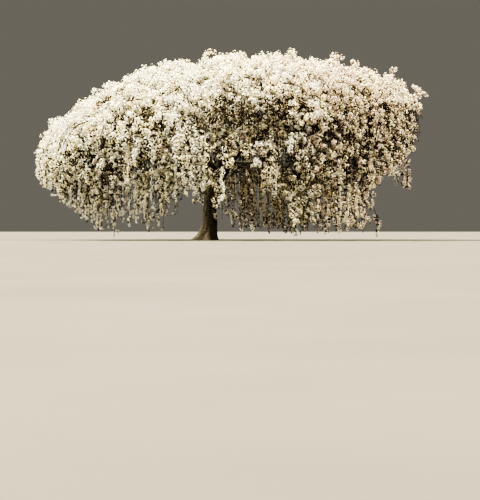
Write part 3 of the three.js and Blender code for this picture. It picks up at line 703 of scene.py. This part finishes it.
def tubes(paths, girths, sides=3):
    """Tubes along many paths of the same number of points, as corners and four-sided faces."""
    count, points = paths.shape[:2]
    ahead = unit(np.gradient(paths, axis=1))
    chord = paths[:, -1] - paths[:, 0]
    flat = unit(np.cross(chord, UP) + (1e-3, 0, 0))[:, None]
    side = unit(flat - part_along(flat, ahead))
    other = np.cross(ahead, side)
    turn = 2 * math.pi * np.arange(sides) / sides
    round_it = np.cos(turn)[:, None] * side[:, :, None] + np.sin(turn)[:, None] * other[:, :, None]
    corners = paths[:, :, None] + girths[..., None, None] * round_it
    index = np.arange(count * points * sides).reshape(count, points, sides)
    return corners.reshape(-1, 3), skin(index)


def lid(ring):
    """Four-sided faces that close a ring of corners."""
    return np.array([(ring[i], ring[i + 1], ring[-2 - i], ring[-1 - i]) for i in range(len(ring) // 2 - 1)])


def joined(parts):
    """Several lots of corners and faces as one."""
    corners, faces = zip(*parts)
    starts = np.cumsum([0] + [len(some) for some in corners])
    return np.concatenate(corners), np.concatenate([some + start for some, start in zip(faces, starts)])


def frames_about(facing, rng):
    """Two directions square to each facing, turned at random."""
    rough = rng.normal(size=facing.shape)
    first = unit(np.cross(facing, rough))
    return first, np.cross(facing, first)


def flower_template():
    """A flower facing +Z with a radius of 1: five petals, each leaning a little to one side."""
    corners = [(0, 0, 0)]
    faces = []
    for k in range(PETALS):
        turn = 2 * math.pi * k / PETALS
        for off, height in PETAL_EDGES:
            corners.append((math.cos(turn + off), math.sin(turn + off), height))
        faces.append((0, 1 + 2 * k, 2 + 2 * k))
    return np.array(corners), np.array(faces)


def leaf_template():
    """A leaf pointing along +X with a length of 1, folded along its middle."""
    half = LEAVES.width / 2
    corners = [(0, 0, 0), (0.45, -half, 0.08), (1, 0, -0.06), (0.45, half, 0.08)]
    return np.array(corners), np.array([(0, 1, 2), (0, 2, 3)])


def copies(name, template, material, origins, x_axes, y_axes, z_axes, sizes):
    """Objects within the limit of triangles, from copies of a template at many places."""
    corners, faces = template
    axes = np.stack([x_axes, y_axes, z_axes], axis=1) * sizes[:, None, None]
    every = origins[:, None] + np.einsum("ck,nkj->ncj", corners, axes)
    number = math.ceil(len(every) * len(faces) / PIECE_LIMIT)
    made = []
    for k in range(number):
        some = every[k * len(every) // number : (k + 1) * len(every) // number]
        index = faces + (np.arange(len(some)) * len(corners))[:, None, None]
        made.append(mesh_object(f"{name}_{k + 1}", some.reshape(-1, 3), index.reshape(-1, 3), material))
    return made


# Materials
def set_colours(ramp, stops):
    """Give a ramp its stops, each a position and a colour."""
    elements = ramp.color_ramp.elements
    while len(elements) < len(stops):
        elements.new(0.5)
    for element, (position, colour) in zip(elements, stops):
        element.position = position
        element.color = (*colour, 1)


def mottled_material(name, scale, roughness, bump=(0.2, 0.002), stretch=(1, 1, 1), detail=4):
    """The material's colours mottled by noise, with roughness and relief from the same noise."""
    material = bpy.data.materials.new(name)
    material.use_nodes = True
    nodes = material.node_tree.nodes
    shader = nodes["Principled BSDF"]
    place, mapping, mottle, ramp, rough, relief = (
        nodes.new("ShaderNode" + kind)
        for kind in ("TexCoord", "Mapping", "TexNoise", "ValToRGB", "MapRange", "Bump"))
    for node, key, value in (
        (shader, "Specular IOR Level", SHEEN), (mapping, "Scale", stretch),
        (mottle, "Scale", scale), (mottle, "Detail", detail), (mottle, "Roughness", MOTTLE.roughness),
        (rough, "To Min", roughness[0]), (rough, "To Max", roughness[1]),
        (relief, "Strength", bump[0]), (relief, "Distance", bump[1]),
    ):
        node.inputs[key].default_value = value
    colours = COLOURS[name]
    set_colours(ramp, list(zip(np.linspace(*MOTTLE.stops, len(colours)), colours)))
    for node, output, target, entry in (
        (place, "Object", mapping, "Vector"), (mapping, "Vector", mottle, "Vector"),
        (mottle, "Fac", ramp, "Fac"), (mottle, "Fac", rough, "Value"), (mottle, "Fac", relief, "Height"),
        (ramp, "Color", shader, "Base Color"), (rough, "Result", shader, "Roughness"),
        (relief, "Normal", shader, "Normal"),
    ):
        material.node_tree.links.new(node.outputs[output], target.inputs[entry])
    return material


BARK = mottled_material(
    "cherry_bark", scale=9, roughness=(0.75, 0.95), bump=(0.6, 0.01), stretch=(1, 1, 3.5), detail=8)
TWIG_BARK = mottled_material("twig_bark", scale=14, roughness=(0.6, 0.8), bump=(0.3, 0.002))
# The falling strands' pale golden bark is partly painted sunlight
YOUNG_AND_SUNLIT_BARK = mottled_material("young_twig_bark_and_painted_sun", scale=12, roughness=(0.55, 0.75), bump=(0.3, 0.002))
# Near-black leaves: painted shade in the gaps between clusters
SHADE_LEAF = mottled_material("young_leaves_and_painted_shade", scale=20, roughness=(0.45, 0.6))


# Trunk and boughs with the bark's relief
def trunk_mesh():
    rings, sides = TRUNK.rings, TRUNK.sides
    shares = np.linspace(0, 1, rings) ** RINGS_TO_FOOT
    centres = trunk_line.at(shares)
    centres[0, 2] = 0
    angles = 2 * math.pi * np.arange(sides) / sides
    height = centres[:, 2:]
    lobe = 1 + FLARE.share * np.cos(FLARE.lobes * angles + FLARE.turn)
    to_left = 1 - FLARE.left * np.cos(angles)
    spread = FLARE.rise * np.exp(-height / FLARE.height) * lobe * to_left
    closing = smooth(height, FORK_END.start, FORK_HEIGHT)
    closing = np.sqrt(np.maximum(0, 1 - closing**2 * FORK_END.closed))
    girth = trunk_girth(height) * closing + spread
    corners = centres[:, None] + level_ways(angles) * girth[..., None]
    relief = np.array([[bark_relief(Vector(c), a, h[0]) for c, a in zip(ring, angles)]
                       for ring, h in zip(corners, height)])
    corners += level_ways(angles) * relief[..., None]
    index = np.arange(rings * sides).reshape(rings, sides)
    faces = np.concatenate([skin(index), lid(index[0][::-1]), lid(index[-1])])
    return corners.reshape(-1, 3), faces


def bark_relief(place, angle, height):
    """Long plates and fissures on the old trunk, crossed by bands of lenticels."""
    plates, fissures = (
        noise.noise(Vector((math.cos(angle) * size.across, math.sin(angle) * size.across,
                            height * size.up + size.shift)))
        for size in (PLATES, FISSURES))
    bands = noise.noise(Vector((place.x * BANDS.across, place.y * BANDS.across, height * BANDS.up)))
    grain = noise.noise(place * GRAIN.fine)
    long_relief = PLATES.height * plates + FISSURES.height * (1 - abs(fissures) * 2)
    return long_relief + BANDS.height * bands + GRAIN.height * grain


def limb_mesh(limb, sides=LIMB_SIDES):
    """A round limb that swells where it leaves its parent, with knots and bands in its bark."""
    line = limb["line"]
    rings = max(8, int(line.length / LIMB_RING))
    shares = np.linspace(0, 1, rings)
    girths = limb_girths(limb, shares)
    girths = girths * (1 + COLLAR.swell * np.exp(-shares * line.length / COLLAR.length))
    corners, faces = tubes(line.at(shares)[None], girths[None], sides)
    centres = np.repeat(line.at(shares), sides, axis=0)
    outward = unit(corners - centres)
    at = np.repeat(shares * line.length, sides)
    relief = []
    for (x, y, z), along in zip(corners, at):
        knot = noise.noise(Vector((x, y, z)) * KNOTS.fine)
        place = Vector((x * LIMB_BANDS.across, y * LIMB_BANDS.across, along * LIMB_BANDS.along))
        relief.append(KNOTS.height * knot + LIMB_BANDS.height * noise.noise(place))
    relief = np.array(relief)
    ring = np.arange(sides)
    faces = np.concatenate([faces, lid(ring[::-1]), lid(len(corners) - sides + ring)])
    return corners + outward * (relief * np.repeat(girths, sides))[:, None], faces


# The growth of every mass
def grow(mass, index):
    """A mass's twigs, by kind, as paths of equally many points."""
    rng = np.random.default_rng(SEEDS.masses + index)
    stem = stem_line(mass)
    rising = branchlets(stem, knees_of(mass, rng))
    hanging = weeping(mass, rising[:, -1], rng)
    twigs = {"stem": stem.at(np.linspace(0, 1, STEM.points))[None], "rising": rising}
    if mass["ring"] is LOW:
        twigs["fall"] = hanging
    else:
        skeleton = np.concatenate([
            rising[:, 1:].reshape(-1, 3), hanging[:, :3].reshape(-1, 3), stem.at(np.linspace(*STEM.shoots))])
        twigs["hanging"] = hanging
        twigs["shoots"] = shoots(mass, skeleton, rng)
        twigs["strays"] = strays(twigs["shoots"][:, -1], rng)
    twigs["aside"] = side_shoots(hanging, rng)
    return {kind: paths for kind, paths in twigs.items() if len(paths)}


def sites_on(paths, bare, spray, emphasis):
    """Places for blossom along paths past their bare share, with the twig's heading there."""
    places, headings, sprays = [], [], []
    for i, path in enumerate(paths):
        line = Line(path)
        where = np.arange(line.length * bare + ALONG / 2, line.length + ALONG / 2, ALONG)
        where = np.minimum(where, line.length)
        stretch = np.clip(np.searchsorted(line.marks, where) - 1, 0, len(path) - 2)
        places.append(line.after(where))
        headings.append(unit(path[stretch + 1] - path[stretch]))
        sprays.append(np.full(len(where), spray + i))
    places = np.concatenate(places)
    return places, np.concatenate(headings), np.concatenate(sprays), np.full(len(places), emphasis)


def billowing(places):
    """A smooth field that is 1 on the billows of blossom and 0 in the valleys between them."""
    rng = np.random.default_rng(SEEDS.billows)
    field = np.zeros(len(places))
    for _ in range(BILLOWS.waves):
        direction = unit(rng.normal(size=3))
        field += np.sin(places @ direction * 2 * math.pi / rng.uniform(*BILLOWS.length) + rng.random() * 6)
    return smooth(field, *BILLOWS.span)


def in_fall(places):
    """1 within the fall of twigs right of the trunk, and 0 away from it."""
    x, _, z = places.T
    beside = np.exp(-(((x - FALL_OF_TWIGS.x) / FALL_OF_TWIGS.half) ** 4))
    top = FALL_OF_TWIGS.top
    return beside * (1 - smooth(z, top - FALL_OF_TWIGS.fade, top))


def off_middle(places, x, z, half_x, half_z):
    """How far off an oval's middle places lie, seen from the front, squared: 1 on the oval."""
    return ((places[:, 0] - x) / half_x) ** 2 + ((places[:, 2] - z) / half_z) ** 2


def fullness(places):
    """The share of the blossom that is there: less in the hollows and in the fringe."""
    full = np.ones(len(places))
    before = smooth(-places[:, 1], *IN_FRONT.hollows)
    for *oval, missing in HOLLOWS:
        full *= 1 - before * missing * np.exp(-off_middle(places, *oval))
    return full * (1 - FRINGE.missing * smooth(places[:, 0], *FRINGE.across))


def set_back(places):
    """How much deeper than elsewhere the blossom sits in the recesses of the crown's front."""
    back = np.zeros(len(places))
    before = smooth(-places[:, 1], *IN_FRONT.recesses)
    for *oval, depth in RECESSES:
        back += before * depth * np.exp(-(off_middle(places, *oval) ** 2))
    return back


def in_middle(places):
    """1 in the crown's middle as seen from above, and 0 near its edge and under the dome's shell."""
    _, share = polar(*places[:, :2].T)
    under = dome_height(*places[:, :2].T) - places[:, 2]
    return (1 - smooth(share, *MIDDLE.share)) * (1 - smooth(under, *MIDDLE.under))


def fineness(places):
    """1 where the clusters are smallest, near the hem, and 0 higher up."""
    x, _, z = places.T
    return (1 - smooth(z, *FINE.height)) * lerp(1, FINE.right_share, smooth(x, *FINE.right))


def streaks(places, sprays):
    """How laden each hanging twig is: the same along it, and uneven only in the curtain on the right."""
    laden = np.random.default_rng(SEEDS.streaks).random(sprays.max() + 1)[sprays] ** 2
    within = smooth(places[:, 0], *STREAKS.right) * (1 - smooth(places[:, 2], *STREAKS.top))
    return lerp(1, lerp(*STREAKS.laden, laden), within)


def chosen_sites(places, sprays, emphasis):
    """The places that bear blossom, drawn by lot: most in the outer shell and in the billows, well apart."""
    billow = billowing(places)
    sure = emphasis > SURE
    emphasis = emphasis * streaks(places, sprays) * (1 + FINE.more * fineness(places))
    past = depth_in_crown(places) - BILLOWS.valley * (1 - billow) - set_back(places)
    inside = lerp(SHELL.inner, 1, np.exp(-((past / SHELL.depth) ** 2)))
    shell = np.where(past > 0, inside, np.exp(-((past / SHELL.before) ** 2)))
    shell = np.where(sure, 1, shell)
    chance = emphasis * shell * lerp(BILLOWS.floor, 1, billow) * fullness(places)
    chance = chance * (1 + MIDDLE.more * in_middle(places))
    order = np.argsort(-np.log(np.random.default_rng(SEEDS.lot).random(len(places))) / chance)
    size = np.round(FINE.sizes * fineness(places[order])) / FINE.sizes
    apart = CLUSTER_APART * lerp(1, FINE.apart, size)
    cube = np.floor(places[order] / apart[:, None]).astype(np.int64)
    _, first = np.unique(cube, axis=0, return_index=True)
    return order[np.sort(first)[:CLUSTERS]]


def blossom(places, headings, rng):
    """A round cluster of flowers at each place, on the side of the twig that faces outward."""
    outward = unit((places - (CROWN_X, 0, HEART.flowers)) * (1, 1, HEART.rise))
    off = rng.normal(size=places.shape)
    off = unit(off - part_along(off, headings) + outward * CLUSTER_OUTWARD)
    scale = lerp(1, FINE.least, fineness(places))
    scale = lerp(scale, FALL_OF_TWIGS.size, in_fall(places)) * (1 + MIDDLE.larger * in_middle(places))
    radius = CLUSTER_RADIUS * (scale * rng.uniform(*CLUSTER_SIZE, len(places)))[:, None]
    middle = places + off * radius
    facing = unit(off * FACING.off + outward * FACING.outward + UP * FACING.up)
    first, second = frames_about(facing, rng)
    flowers = []
    for k in range(FLOWERS_IN_CLUSTER):
        turn = k * GOLDEN_ANGLE
        lean = FLOWER_LEAN.most * math.sqrt((k + FLOWER_LEAN.first) / FLOWERS_IN_CLUSTER)
        lean = lean + FLOWER_LEAN.uneven * rng.normal(size=(len(places), 1))
        aside = math.cos(turn) * first + math.sin(turn) * second
        look = unit(np.cos(lean) * facing + np.sin(lean) * aside)
        size = rng.uniform(*FLOWER_RADIUS, len(places)) * scale ** FINE.petals
        out = look * rng.uniform(*CLUSTER_UNEVEN, (len(places), 1))
        out = out + part_along(look, headings) * CLUSTER_STRETCH
        flowers.append((middle + out * radius, look, size))
    # One cluster's flowers follow each other
    centres, looks, sizes = (np.stack(column, axis=1) for column in zip(*flowers))
    looks = looks.reshape(-1, 3)
    x_axes, y_axes = frames_about(looks, rng)
    return centres.reshape(-1, 3), x_axes, y_axes, looks, sizes.ravel()


growths = [grow(mass, i) for i, mass in enumerate(masses)]
shown = {
    "arcs": shown_paths(ARCS, ARC.depth),
    "sprigs": shown_paths(SPRIGS, ARC.sprig_depth),
    "curtain": shown_paths(CURTAIN, ARC.sprig_depth),
    "trunk_shoot": through(TRUNK_SHOOT)[None],
    "low_limb": through(LOW_LIMB, 2 * ARC.points)[None],
}


# Twigs
def twig_tubes(lots, *kinds):
    """Tubes that taper along the twigs of some kinds, for each lot of twigs in turn."""
    parts = []
    for lot in lots:
        for kind in kinds:
            if kind in lot:
                count, points = lot[kind].shape[:2]
                girths = np.broadcast_to(np.linspace(*GIRTHS[kind], points), (count, points))
                parts.append(tubes(lot[kind], girths, TWIG_SIDES.get(kind, 3)))
    return parts


dark_parts = twig_tubes(growths, "stem", "rising", "shoots", "strays", "aside")
dark_parts += twig_tubes(growths, "hanging") + twig_tubes([shown], *shown)
half = len(dark_parts) // 2
for name, parts, material in (
    ("twigs_1", dark_parts[:half], TWIG_BARK),
    ("twigs_2", dark_parts[half:], TWIG_BARK),
    ("young_twigs_and_painted_sun", twig_tubes(growths, "fall"), YOUNG_AND_SUNLIT_BARK),
):
    twigs = mesh_object(name, *joined(parts), material)

# Blossom
sites = []
spray = 0
for lot in [*growths, shown]:
    for kind, (bare, emphasis) in BEARING.items():
        if kind in lot:
            sites.append(sites_on(lot[kind], bare, spray, emphasis))
            spray += len(lot[kind])
places, headings, sprays, emphasis = (np.concatenate(column) for column in zip(*sites))
borne = chosen_sites(places, sprays, emphasis)

deal = np.random.default_rng(SEEDS.deal).random(spray)[sprays[borne]]
blush_share = lerp(*DEAL.blush, smooth(places[borne, 0], 0, DEAL.right))
dealt = np.where(deal < blush_share, 2, np.where(deal < blush_share + DEAL.cream, 1, 0))
# Flowers in the fall of twigs take the far brighter petals: painted sunlight where the lamps leave shade
dealt[in_fall(places[borne]) > 0.5] = 3
mass_names = [mass["name"] for mass in masses]
rng = np.random.default_rng(SEEDS.flowers)
for number, (name, petals) in enumerate(KINDS.items()):
    mine = borne[dealt == number]
    material = mottled_material(petals, scale=30, roughness=(0.5, 0.65))
    made = copies(name, flower_template(), material, *blossom(places[mine], headings[mine], rng))
    for piece in made:
        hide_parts(*mass_names)

# Near-black leaves that put painted shade into the gaps between clusters: most of them inside the flowering
# shell, and more beside clusters on the crown's sides under the shoulder
inward = smooth(depth_in_crown(places), 0, LEAVES.depth)
chance = lerp(LEAVES.outside, 1, inward) * (1 - LEAVES.fewer * fineness(places))
chance = chance * (1 + MIDDLE.more_leaves * in_middle(places))
chance = chance * (1 - FRINGE.missing_leaves * smooth(places[:, 0], *FRINGE.across))
chosen = rng.choice(len(places), LEAVES.count, replace=False, p=chance / chance.sum())
under = dome_height(*places[borne, :2].T) - places[borne, 2]
chance = smooth(under, *LEAVES.under) * (1 - LEAVES.fewer_beside * fineness(places[borne]))
chosen = np.concatenate([chosen, rng.choice(borne, LEAVES.beside, p=chance / chance.sum())])
along = unit(headings[chosen] + rng.normal(0, LEAVES.scatter, (len(chosen), 3)))
across, above = frames_about(along, rng)
sizes = rng.uniform(*LEAVES.length, len(chosen))
for piece in copies("young_leaves_and_painted_shade", leaf_template(), SHADE_LEAF, places[chosen], along, across, above, sizes):
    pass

# Trunk and boughs
trunk = mesh_object("trunk_bark", *trunk_mesh(), BARK, smooth_shaded=True)
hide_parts("trunk")
boughs = mesh_object("bough_bark", *joined([limb_mesh(limb) for limb in limbs]), BARK, smooth_shaded=True)
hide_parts(*[limb["name"] for limb in limbs])


# Stage, light and camera
def stage():
    bpy.ops.mesh.primitive_circle_add(vertices=FLOOR.sides, radius=FLOOR.radius, fill_type="NGON")
    floor = bpy.context.object
    floor.name = "floor"
    floor.data.materials.append(mottled_material(
        "pale_floor", scale=0.4, roughness=(0.85, 0.95), bump=(0.05, 0.01)))


def light():
    world = bpy.data.worlds.new("studio")
    scene.world = world
    world.use_nodes = True
    nodes, links = world.node_tree.nodes, world.node_tree.links
    way, parts, ramp = (
        nodes.new("ShaderNode" + kind) for kind in ("TexCoord", "SeparateXYZ", "ValToRGB"))
    set_colours(ramp, WORLD)
    links.new(way.outputs["Generated"], parts.inputs["Vector"])
    links.new(parts.outputs["Z"], ramp.inputs["Fac"])
    links.new(ramp.outputs["Color"], nodes["Background"].inputs["Color"])
    for name, (strength, width, turns) in LAMPS.items():
        lamp = bpy.data.lights.new(name, "SUN")
        lamp.energy = strength
        lamp.angle = math.radians(width)
        lamp.color = LAMP_COLOUR
        holder = bpy.data.objects.new(name, lamp)
        holder.rotation_euler = [math.radians(turn) for turn in turns]
        scene.collection.objects.link(holder)


def camera():
    for key, value in TONES.items():
        setattr(scene.view_settings, key, value)
    pixels = CAMERA_DISTANCE * PHOTO.pixels_per_metre
    data = bpy.data.cameras.new("camera")
    data.lens = data.sensor_width * pixels / max(PHOTO.width, PHOTO.height)
    data.clip_end = FARTHEST_SEEN
    holder = bpy.data.objects.new("camera", data)
    below = PHOTO.height / 2 - PHOTO.horizon_y
    height = (PHOTO.foot_y - PHOTO.horizon_y) / PHOTO.pixels_per_metre
    centre_x = (PHOTO.width / 2 - PHOTO.foot_x) / PHOTO.pixels_per_metre
    holder.location = (centre_x, -CAMERA_DISTANCE, height)
    holder.rotation_euler = (math.pi / 2 - math.atan(below / pixels), 0, 0)
    scene.collection.objects.link(holder)
    scene.camera = holder


stage()
light()
camera()
